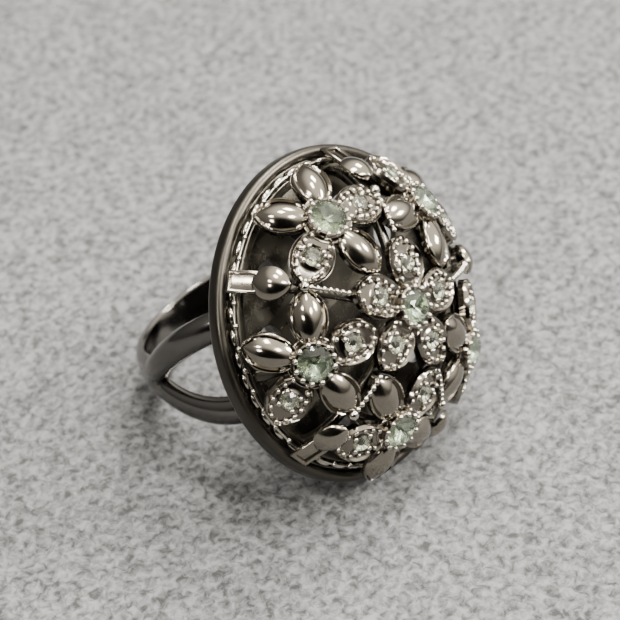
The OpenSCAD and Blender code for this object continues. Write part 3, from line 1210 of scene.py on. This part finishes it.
@dataclass
class Flower:
    """One flower: its petals, its collet with grips, and its stones."""

    sizes: RingSizes
    dome: Dome
    nodes: NodeTools
    label: str
    azimuth: float
    lat: float
    turn: float
    kinds: tuple[PetalKind, ...]
    petal_tip: float
    fall: float
    stone_r: float = 1.45
    petal_stone_r: float = 0.8
    collet_wall: float = 0.3
    grip_r: float = 0.27
    grips: int = 12
    plain_w: float = 3.2
    set_w: float = 3.6
    petal_t: float = 0.4
    petal_crown: float = 1.12
    lip_h: float = 0.68
    lip_w: float = 0.28
    lip_power: float = 0.6
    border_share: float = 0.9  # the puffed middle starts at this share of the lip's width
    rim_h: float = 0.86
    ridge_w: float = 0.22
    ridge_foot: float = 0.52
    dish: float = 0.5
    collar_h: float = 0.16
    collar_top: float = 0.06  # the collar falls from here to its foot, past the stone's edge
    collar_foot: float = 0.26
    pocket_share: float = 0.93
    pocket_depth: float = 0.22
    # share of painted shade at the bottom of a set petal's dish
    darkest: float = 0.85
    bright_edge: float = 0.08  # the raised edge stays bright this far down, and the painted shade starts below it
    edge_beads: int = 14
    bead_r: float = 0.22
    bead_inset: float = 0.56
    bead_lift: float = 0.12
    claws: int = 4
    claw_r: float = 0.24
    claw_out: float = 0.08
    claw_lift: float = 0.2
    disc_gap: float = 0.02
    disc_w: float = 0.4
    disc_corner: float = 0.12
    base_t: float = 0.5
    girdle_z: float = 0.92
    edge_h: float = 0.14
    crown_h: float = 0.5
    bearing_w: float = 0.25
    bearing_h: float = 0.2
    cup_foot: float = 0.08  # the cup's chamfer at its foot
    cup_lip: float = 0.1  # the cup's chamfer at its lip
    stone_gap: float = 0.01  # between the stone's edge and the cup
    mouth_gap: float = 0.02
    grip_out: float = 0.16
    grip_drop: float = 0.02
    grip_share: float = 0.92  # size of a finished grip against the cast one
    culet_gap: float = 0.05
    small_turn: float = 0.3  # each petal's stone is turned this much from the one before

    def __post_init__(self) -> None:
        """Works out the sizes that follow from the others."""
        self.collet_r = self.stone_r + self.collet_wall
        self.root = 0.62 * self.collet_r
        self.plain = Almond(self.petal_tip - self.root, self.plain_w)
        self.spoon = Almond(self.petal_tip - self.root, self.set_w, point=0.66)
        self.petal_stone_at = 0.5 * self.spoon.length
        self.place = self.dome.stand(self.azimuth, self.lat)

    def petal_place(self, k: int) -> Matrix:
        """Place of a petal's root in the ring's frame."""
        turn = self.turn + 2 * math.pi * k / len(self.kinds)
        return (self.place @ Matrix.Rotation(turn, 4, "Z") @ Matrix.Translation((self.root, 0, 0))
                @ Matrix.Rotation(self.fall, 4, "Y"))

    def plain_top(self, x: float, y: float, edge: float) -> tuple[float, float]:
        """Height of a plain petal's top: a rounded lip, then a puffed middle."""
        rise = math.sin(math.pi * min(1.0, edge / self.lip_w)) ** self.lip_power
        lip = self.petal_t + (self.lip_h - self.petal_t) * rise
        swell = self.plain.puff(x, edge, self.border_share * self.lip_w)
        puff = self.petal_t + (self.petal_crown - self.petal_t) * swell
        return max(lip, puff), 0.0

    def set_top(self, x: float, y: float, edge: float) -> tuple[float, float]:
        """Height of a set petal: a rounded raised edge, a dish and a collar for the stone, and its
        painted shade, darker deeper in the dish.
        """
        if edge < self.ridge_w:
            rise = math.sin(math.pi / 2 * edge / self.ridge_w)
            height = self.petal_t + (self.rim_h - self.petal_t) * rise
        else:
            fall = smooth_step(self.ridge_w, self.ridge_foot, edge)
            height = self.rim_h + (self.dish - self.rim_h) * fall
        from_stone = math.hypot(x - self.petal_stone_at, y)
        collar = 1 - smooth_step(self.petal_stone_r + self.collar_top,
                                 self.petal_stone_r + self.collar_foot, from_stone)
        height = max(height, self.dish + self.collar_h * collar)
        if from_stone < self.petal_stone_r * self.pocket_share:
            height = min(height, self.dish - self.pocket_depth)
        # Painted shade: the lower a point lies below the raised edge, the darker it is painted.
        depth = (self.rim_h - self.bright_edge - height) / (self.rim_h - self.dish)
        deep = min(1.0, max(0.0, depth))
        return height, self.darkest * deep

    def add_set_beads(self, builder: MeshBuilder, place: Matrix) -> None:
        """Adds the little beads round a set petal's stone and inside its raised edge.

        Args:
            builder: Where to add them.
            place: The petal's place.
        """
        path = self.spoon.outline(self.bead_inset, 14, self.dish + self.bead_lift)
        row = self.nodes.bead_row(path, self.edge_beads, self.bead_r, True, detail=3)
        builder.add_mesh(row, place, slot=1)
        lift = self.dish + self.claw_lift + self.spoon.bend
        circle = [(x + self.petal_stone_at, y, z) for x, y, z
                  in ring_path(self.petal_stone_r + self.claw_out, lift, 24, math.pi / 4)]
        claws = self.nodes.bead_row(circle, self.claws, self.claw_r, True, detail=3)
        builder.add_mesh(claws, place, slot=1)

    def petals(self, finishes: Finishes) -> bpy.types.Object:
        """Makes the petals and the disc that they grow from."""
        builder = MeshBuilder()
        disc = rounded_profile((self.collet_r + self.disc_gap, 0.0),
                               (self.collet_r + self.disc_w, self.base_t), self.disc_corner)
        builder.add(*lathe(disc, 48), place=self.place)
        for k, kind in enumerate(self.kinds):
            place = self.petal_place(k)
            plain = kind is PetalKind.PLAIN
            shape = self.plain if plain else self.spoon
            points, faces, hollow_shade = shape.skin(self.plain_top if plain else self.set_top)
            builder.add(points, faces, place, hollow_shade=hollow_shade)
            if kind is PetalKind.SET:
                self.add_set_beads(builder, place)
        piece = builder.finish(f"{self.label}_petals", self.sizes,
                               [finishes.petal, finishes.bead], sharp=60)
        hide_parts(self.node("flower"))
        return piece

    def collet(self, finishes: Finishes) -> bpy.types.Object:
        """Makes the stone's cup and the ring of grips round it."""
        builder = MeshBuilder()
        top = self.girdle_z + self.edge_h
        bore, outside = self.stone_r - self.bearing_w, self.collet_r
        cup = [(bore, 0.0), (outside - self.cup_foot, 0.0), (outside, self.cup_foot),
               (outside, top - self.cup_lip), (outside - self.cup_lip, top),
               (self.stone_r + self.mouth_gap, top),
               (self.stone_r + self.stone_gap, self.girdle_z),
               (bore, self.girdle_z - self.bearing_h)]
        builder.add(*lathe(cup, 64), place=self.place)
        path = ring_path(self.stone_r + self.grip_out, top - self.grip_drop, 48)
        grips = self.nodes.bead_row(path, self.grips, self.grip_r * self.grip_share, True,
                                    detail=3)
        builder.add_mesh(grips, self.place, slot=1)
        piece = builder.finish(f"{self.label}_collet", self.sizes,
                               [finishes.petal, finishes.bead])
        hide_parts(self.node("collet"))
        return piece

    def stones(self, finishes: Finishes) -> list[bpy.types.Object]:
        """Makes the middle stone and the petals' stones."""
        made = []
        middle = MeshBuilder()
        cut = Brilliant(self.stone_r, crown=self.crown_h, edge=self.edge_h,
                        below=self.girdle_z - self.culet_gap)
        cut.add_to(middle, self.place @ Matrix.Translation((0, 0, self.girdle_z)), self.turn)
        made.append(middle.finish(f"{self.label}_middle_stone", self.sizes,
                                  [finishes.glass, finishes.foil], sharp=1))
        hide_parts(self.node("stone"))
        small = MeshBuilder()
        cut = Brilliant(self.petal_stone_r, crown=0.26, edge=0.1, below=0.42)
        lift = self.dish + 0.1 + self.spoon.bend
        for k, kind in enumerate(self.kinds):
            if kind is PetalKind.SET:
                place = self.petal_place(k) @ Matrix.Translation((self.petal_stone_at, 0, lift))
                cut.add_to(small, place, self.small_turn * k)
        made.append(small.finish(f"{self.label}_petal_stone_set", self.sizes,
                                 [finishes.small_glass, finishes.foil], sharp=1))
        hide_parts(self.node("petal_stones"))
        return made

    def node(self, kind: str) -> str:
        """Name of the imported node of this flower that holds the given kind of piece."""
        if self.label == "apex":
            return f"apex_{kind}"
        return f"{kind}_{self.label.removeprefix('flower_')}"


# ---------------------------------------------------------------------------------------------
# Leaves and beaded wires
# ---------------------------------------------------------------------------------------------


@dataclass
class LeafSpray:
    """A leaf that grows from the rim, and the beaded wire from its tip to the apex flower."""

    sizes: RingSizes
    dome: Dome
    nodes: NodeTools
    number: int
    azimuth: float
    wire_end_lat: float
    low_lat: float = math.radians(5)
    high_lat: float = math.radians(37)
    knob_lat: float = math.radians(42.5)
    leaf_lift: float = 0.75
    wire_lift: float = 0.62
    leaf_w: float = 2.7
    leaf_t: float = 0.3
    leaf_crown: float = 0.9
    tab_l: float = 1.9
    tab_w: float = 1.5
    tab_overlap: float = 0.35  # how far the tab runs under the leaf
    tab_inset: float = 0.1
    tab_bar: tuple[float, float, float] = (0.5, 0.42, 0.18)  # width, thickness, corner
    tab_bar_z: float = 0.24
    tab_floor: tuple[float, float] = (0.2, 0.05)  # thickness, corner
    tab_floor_z: float = 0.12
    bead_r: float = 0.26
    bead_pitch: float = 1.75  # in bead radii
    wire_arch: float = 0.12
    wire_corner: float = 0.12
    knob_r: float = 0.45

    def leaf(self, finishes: Finishes) -> bpy.types.Object:
        """Makes the puffed leaf."""
        upper = self.dome.point(self.high_lat, self.leaf_lift)
        lower = self.dome.point(self.low_lat, self.leaf_lift)
        length = (lower - upper).length
        shape = Almond(length - self.tab_l, self.leaf_w, blunt=0.7, point=0.6, bend=0.1)

        def top(x: float, y: float, edge: float) -> tuple[float, float]:
            """Height of the leaf's top."""
            return self.leaf_t + (self.leaf_crown - self.leaf_t) * shape.puff(x, edge, 0.0), 0.0

        builder = MeshBuilder()
        place = self.dome.along(self.azimuth, upper, lower)
        points, faces, hollow_shade = shape.skin(top)
        builder.add(points, faces, place, hollow_shade=hollow_shade)
        near = length - self.tab_l - self.tab_overlap
        far, side = length - self.tab_inset, self.tab_w / 2
        frame = [(near, -side, 0.0), (far, -side, 0.0), (far, side, 0.0), (near, side, 0.0)]
        bars = self.nodes.bar(frame, *self.tab_bar, True)
        builder.add_mesh(bars, place @ Matrix.Translation((0, 0, self.tab_bar_z)))
        floor = [(near, 0.0, 0.0), (far, 0.0, 0.0)]
        plate = self.nodes.bar(floor, self.tab_w, *self.tab_floor)
        builder.add_mesh(plate, place @ Matrix.Translation((0, 0, self.tab_floor_z)))
        piece = builder.finish(f"rim_leaf_{self.number}", self.sizes, [finishes.petal], sharp=60)
        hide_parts(f"leaf_{self.number}")
        return piece

    def wire(self, finishes: Finishes) -> bpy.types.Object:
        """Makes the beaded wire with the knob at its foot."""
        upper = self.dome.point(self.wire_end_lat, self.wire_lift)
        lower = self.dome.point(self.knob_lat, self.wire_lift)
        length = (lower - upper).length
        place = self.dome.along(self.azimuth, upper, lower)
        steps = 20
        path = [(length * k / steps, 0.0, self.wire_arch * math.sin(math.pi * k / steps))
                for k in range(steps + 1)]
        beads = math.floor((length - self.knob_r) / (self.bead_pitch * self.bead_r))
        beaded = path[:steps - 2]
        builder = MeshBuilder()
        builder.add_mesh(self.nodes.bar(path, self.bead_r, self.bead_r, self.wire_corner), place)
        builder.add_mesh(self.nodes.bead_row(beaded, beads, self.bead_r, detail=3), place)
        knob = [path[-1], (path[-1][0] + 0.01, 0.0, 0.0)]
        builder.add_mesh(self.nodes.bead_row(knob, 1, self.knob_r, detail=4), place)
        piece = builder.finish(f"bead_string_{self.number}", self.sizes, [finishes.bead])
        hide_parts(f"beaded_wire_{self.number}")
        return piece


# ---------------------------------------------------------------------------------------------
# The ring
# ---------------------------------------------------------------------------------------------


@dataclass
class CocktailRing:
    """The whole ring."""

    sizes: RingSizes
    finishes: Finishes
    nodes: NodeTools
    flower_lat: float = math.radians(42)
    outer_azimuths: tuple[float, ...] = (99.5, 172, 238.5, 306, 390.5)
    outer_turns: tuple[float, ...] = (32, -35, 75, 250, 205)
    leaf_azimuths: tuple[float, ...] = (136, 207, 271, 348, 424)
    apex_turn: float = math.radians(61)
    apex_fall: float = math.radians(8)
    outer_fall: float = math.radians(13)
    reach_over: float = 0.9
    surface_out: float = 0.25  # the flowers' surface is this far outside the frame's foot
    wire_gap: float = 0.38

    def flowers(self, dome: Dome) -> list[Flower]:
        """Lays out the apex flower and the flowers round it."""
        count = len(self.outer_turns)
        seat = dome.point(self.flower_lat)
        top = dome.point(math.pi / 2)
        apex_gap = math.hypot(seat.x, top.z - seat.z)
        side_gap = 2 * seat.x * math.sin(math.pi / count)
        tip = min(apex_gap, side_gap) / 2 + self.reach_over
        plain, stone = PetalKind.PLAIN, PetalKind.SET
        made = [Flower(self.sizes, dome, self.nodes, "apex", 0.0, math.pi / 2, self.apex_turn,
                       (stone,) * 5, tip, self.apex_fall)]
        for k, (azimuth, turn) in enumerate(zip(self.outer_azimuths, self.outer_turns)):
            made.append(Flower(self.sizes, dome, self.nodes, f"flower_{k + 1}",
                               math.radians(azimuth), self.flower_lat, math.radians(turn),
                               (plain, stone, plain, stone, plain), tip, self.outer_fall))
        return made

    def build(self) -> list[bpy.types.Object]:
        """Makes every piece of the ring.

        Returns:
            The pieces.
        """
        dome = Dome(self.sizes.foot_r + self.surface_out)
        flowers = self.flowers(dome)
        tip = flowers[0].petal_tip
        pieces = [SplitBand(self.sizes).build(self.finishes),
                  Saddle(self.sizes).build(self.finishes)]
        head = Head(self.sizes, self.nodes)
        pieces += [head.rim(self.finishes), head.plate(self.finishes), *head.rows(self.finishes)]
        wire_end = math.pi / 2 - math.asin((tip + self.wire_gap) / dome.radius)
        sprays = [LeafSpray(self.sizes, dome, self.nodes, k + 1, math.radians(azimuth), wire_end)
                  for k, azimuth in enumerate(self.leaf_azimuths)]
        frame = OpenFrame(self.sizes, dome, self.nodes, self.flower_lat,
                          [math.radians(a) for a in self.outer_azimuths],
                          [math.radians(a) for a in self.leaf_azimuths])
        leaf_lat = (sprays[0].low_lat + sprays[0].high_lat) / 2
        pieces.append(frame.build(self.finishes, sprays[0].knob_lat, leaf_lat))
        for flower in flowers:
            pieces += [flower.petals(self.finishes), flower.collet(self.finishes)]
            pieces += flower.stones(self.finishes)
        for spray in sprays:
            pieces += [spray.leaf(self.finishes), spray.wire(self.finishes)]
        return pieces


# ---------------------------------------------------------------------------------------------
# Stage
# ---------------------------------------------------------------------------------------------


@dataclass(frozen=True)
class Lamp:
    """Rectangular lamp that faces the ring from a direction."""

    towards: Point
    size: tuple[float, float]
    power: float

    def hang(self, name: str, distance: float, color: Point) -> None:
        """Adds the lamp.

        Args:
            name: Its name.
            distance: Its distance from the ring in metres.
            color: Its colour.
        """
        light = bpy.data.lights.new(name, "AREA")
        light.shape = "RECTANGLE"
        light.size, light.size_y = self.size
        light.energy = self.power
        light.color = color
        lamp = bpy.data.objects.new(name, light)
        lamp.location = tuple(distance * c for c in self.towards)
        lamp.rotation_euler = (-Vector(lamp.location)).to_track_quat("-Z", "Y").to_euler()
        bpy.context.scene.collection.objects.link(lamp)


@dataclass(frozen=True)
class Glow:
    """Patch of the surround, full within one angle of its direction and gone past another."""

    towards: Point
    full: float
    none: float
    color: Point


@dataclass
class Stage:
    """Floor, soft lights and camera."""

    floor_z: float
    lens_share: float = 2000.0 / 620.0  # focal length over the width of the picture
    target: Point = (-1.354, -8.401, 6.046)
    azimuth: float = math.radians(-51.63)
    elevation: float = math.radians(40.74)
    roll: float = math.radians(-4.22)
    distance: float = 165.75
    focus_short: float = 9.0  # the focus is this much nearer than the target
    f_stop: float = 64.0
    floor_half: float = 1.5  # in metres
    floor_tone: Point = (0.090, 0.0925, 0.0957)
    floor_spread: tuple[float, float] = (0.26, 1.74)  # darkest and lightest share of the tone
    lamp_distance: float = 0.6  # in metres
    lamp_color: Point = (1.0, 0.95, 0.88)
    lamps: tuple[Lamp, ...] = (
        Lamp((0.10, -0.04, 0.99), (0.14, 0.11), 3.8),
        Lamp((0.58, 0.04, 0.81), (0.16, 0.13), 6.6),
        Lamp((0.58, -0.62, 0.53), (0.17, 0.13), 7.0),
        Lamp((-0.01, -0.64, 0.77), (0.14, 0.11), 3.2),
        Lamp((-0.50, 0.05, 0.86), (0.10, 0.08), 1.7),
        Lamp((-0.78, -0.12, 0.60), (0.08, 0.07), 1.2),
    )
    low_walls: Point = (0.15, 0.145, 0.138)
    high_walls: Glow = Glow((0, 0, 1), 30, 100, (0.50, 0.48, 0.445))
    ceiling: Glow = Glow((0.46, -0.26, 0.85), 28, 64, (2.9, 2.73, 2.44))

    def floor(self) -> None:
        """Makes the plain pale floor."""
        mesh = bpy.data.meshes.new("floor")
        half = self.floor_half
        mesh.from_pydata([(-half, -half, 0), (half, -half, 0), (half, half, 0), (-half, half, 0)],
                         [], [(0, 1, 2, 3)])
        mesh.transform(Matrix.Translation((0, 0, self.floor_z)))
        floor = bpy.data.objects.new("floor", mesh)
        material, tree, shader = new_material("pale_floor")
        set_inputs(shader, {"Roughness": 0.85})
        place = add_node(tree, "ShaderNodeTexCoord")
        mottle = add_node(tree, "ShaderNodeTexNoise", {"Scale": 1300, "Detail": 5,
                                                       "Roughness": 0.62, "Distortion": 0.5})
        spread = add_node(tree, "ShaderNodeMapRange", {"From Min": 0.36, "From Max": 0.64})
        dark, light = ((*[share * c for c in self.floor_tone], 1) for share in self.floor_spread)
        ramp = add_node(tree, "ShaderNodeMix", {"A": dark, "B": light}, data_type="RGBA")
        add_links(tree, (place, "Object", mottle, "Vector"), (mottle, "Fac", spread, "Value"),
                  (spread, "Result", ramp, "Factor"), (ramp, "Result", shader, "Base Color"))
        mesh.materials.append(material)
        bpy.context.scene.collection.objects.link(floor)
        floor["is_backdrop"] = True

    def lights(self) -> None:
        """Hangs the soft lamps."""
        for number, lamp in enumerate(self.lamps):
            lamp.hang(f"lamp_{number}", self.lamp_distance, self.lamp_color)

    def surround(self) -> None:
        """Sets the room's light: a bright ceiling, dim walls and a dark figure by the camera."""
        world = bpy.data.worlds.new("surround")
        bpy.context.scene.world = world
        world.use_nodes = True
        tree = world.node_tree
        back = tree.nodes["Background"]
        place = add_node(tree, "ShaderNodeTexCoord")
        away = (math.sin(self.azimuth), -math.cos(self.azimuth), 0.30)
        figure = Glow(away, 27, 46, (0.012, 0.011, 0.01))
        below: bpy.types.NodeSocket | None = None
        for glow in (self.high_walls, self.ceiling, figure):
            dot = add_node(tree, "ShaderNodeVectorMath", operation="DOT_PRODUCT")
            dot.inputs[1].default_value = Vector(glow.towards).normalized()
            tree.links.new(place.outputs["Generated"], dot.inputs[0])
            fade = add_node(tree, "ShaderNodeMapRange",
                            {"From Min": math.cos(math.radians(glow.none)),
                             "From Max": math.cos(math.radians(glow.full))},
                            interpolation_type="SMOOTHSTEP")
            mix = add_node(tree, "ShaderNodeMix", {"A": (*self.low_walls, 1),
                                                   "B": (*glow.color, 1)}, data_type="RGBA")
            add_links(tree, (dot, "Value", fade, "Value"), (fade, "Result", mix, "Factor"))
            if below is not None:
                tree.links.new(below, mix.inputs["A"])
            below = mix.outputs["Result"]
        tree.links.new(below, back.inputs["Color"])
        back.inputs["Strength"].default_value = 1.0

    def camera(self) -> None:
        """Sets the camera at its viewing angle."""
        data = bpy.data.cameras.new("camera")
        data.sensor_width = 36.0
        data.lens = self.lens_share * data.sensor_width
        data.clip_start = 0.01
        data.dof.use_dof = True
        data.dof.focus_distance = (self.distance - self.focus_short) * MM
        data.dof.aperture_fstop = self.f_stop
        away = Vector((math.sin(self.azimuth) * math.cos(self.elevation),
                       -math.cos(self.azimuth) * math.cos(self.elevation),
                       math.sin(self.elevation)))
        camera = bpy.data.objects.new("camera", data)
        turn = (-away).to_track_quat("-Z", "Y").to_matrix().to_4x4()
        place = Matrix.Translation((Vector(self.target) + away * self.distance) * MM)
        camera.matrix_world = place @ turn @ Matrix.Rotation(self.roll, 4, "Z")
        bpy.context.scene.collection.objects.link(camera)
        bpy.context.scene.camera = camera

    def build(self) -> None:
        """Makes the whole stage."""
        self.floor()
        self.lights()
        self.surround()
        self.camera()


def main() -> None:
    """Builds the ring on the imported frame."""
    logging.basicConfig(level=logging.INFO, format="%(message)s")
    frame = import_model()
    packed = [list(corner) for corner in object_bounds()]
    sizes = RingSizes.from_frame(frame["record"])
    ring = CocktailRing(sizes, Finishes.build(), NodeTools())
    for piece in ring.build():
        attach(piece, "root")
        LOG.info("%s: %d faces", piece.name, len(piece.data.polygons))
    Stage(floor_z=packed[0][2]).build()


if __name__ == "__main__":
    main()
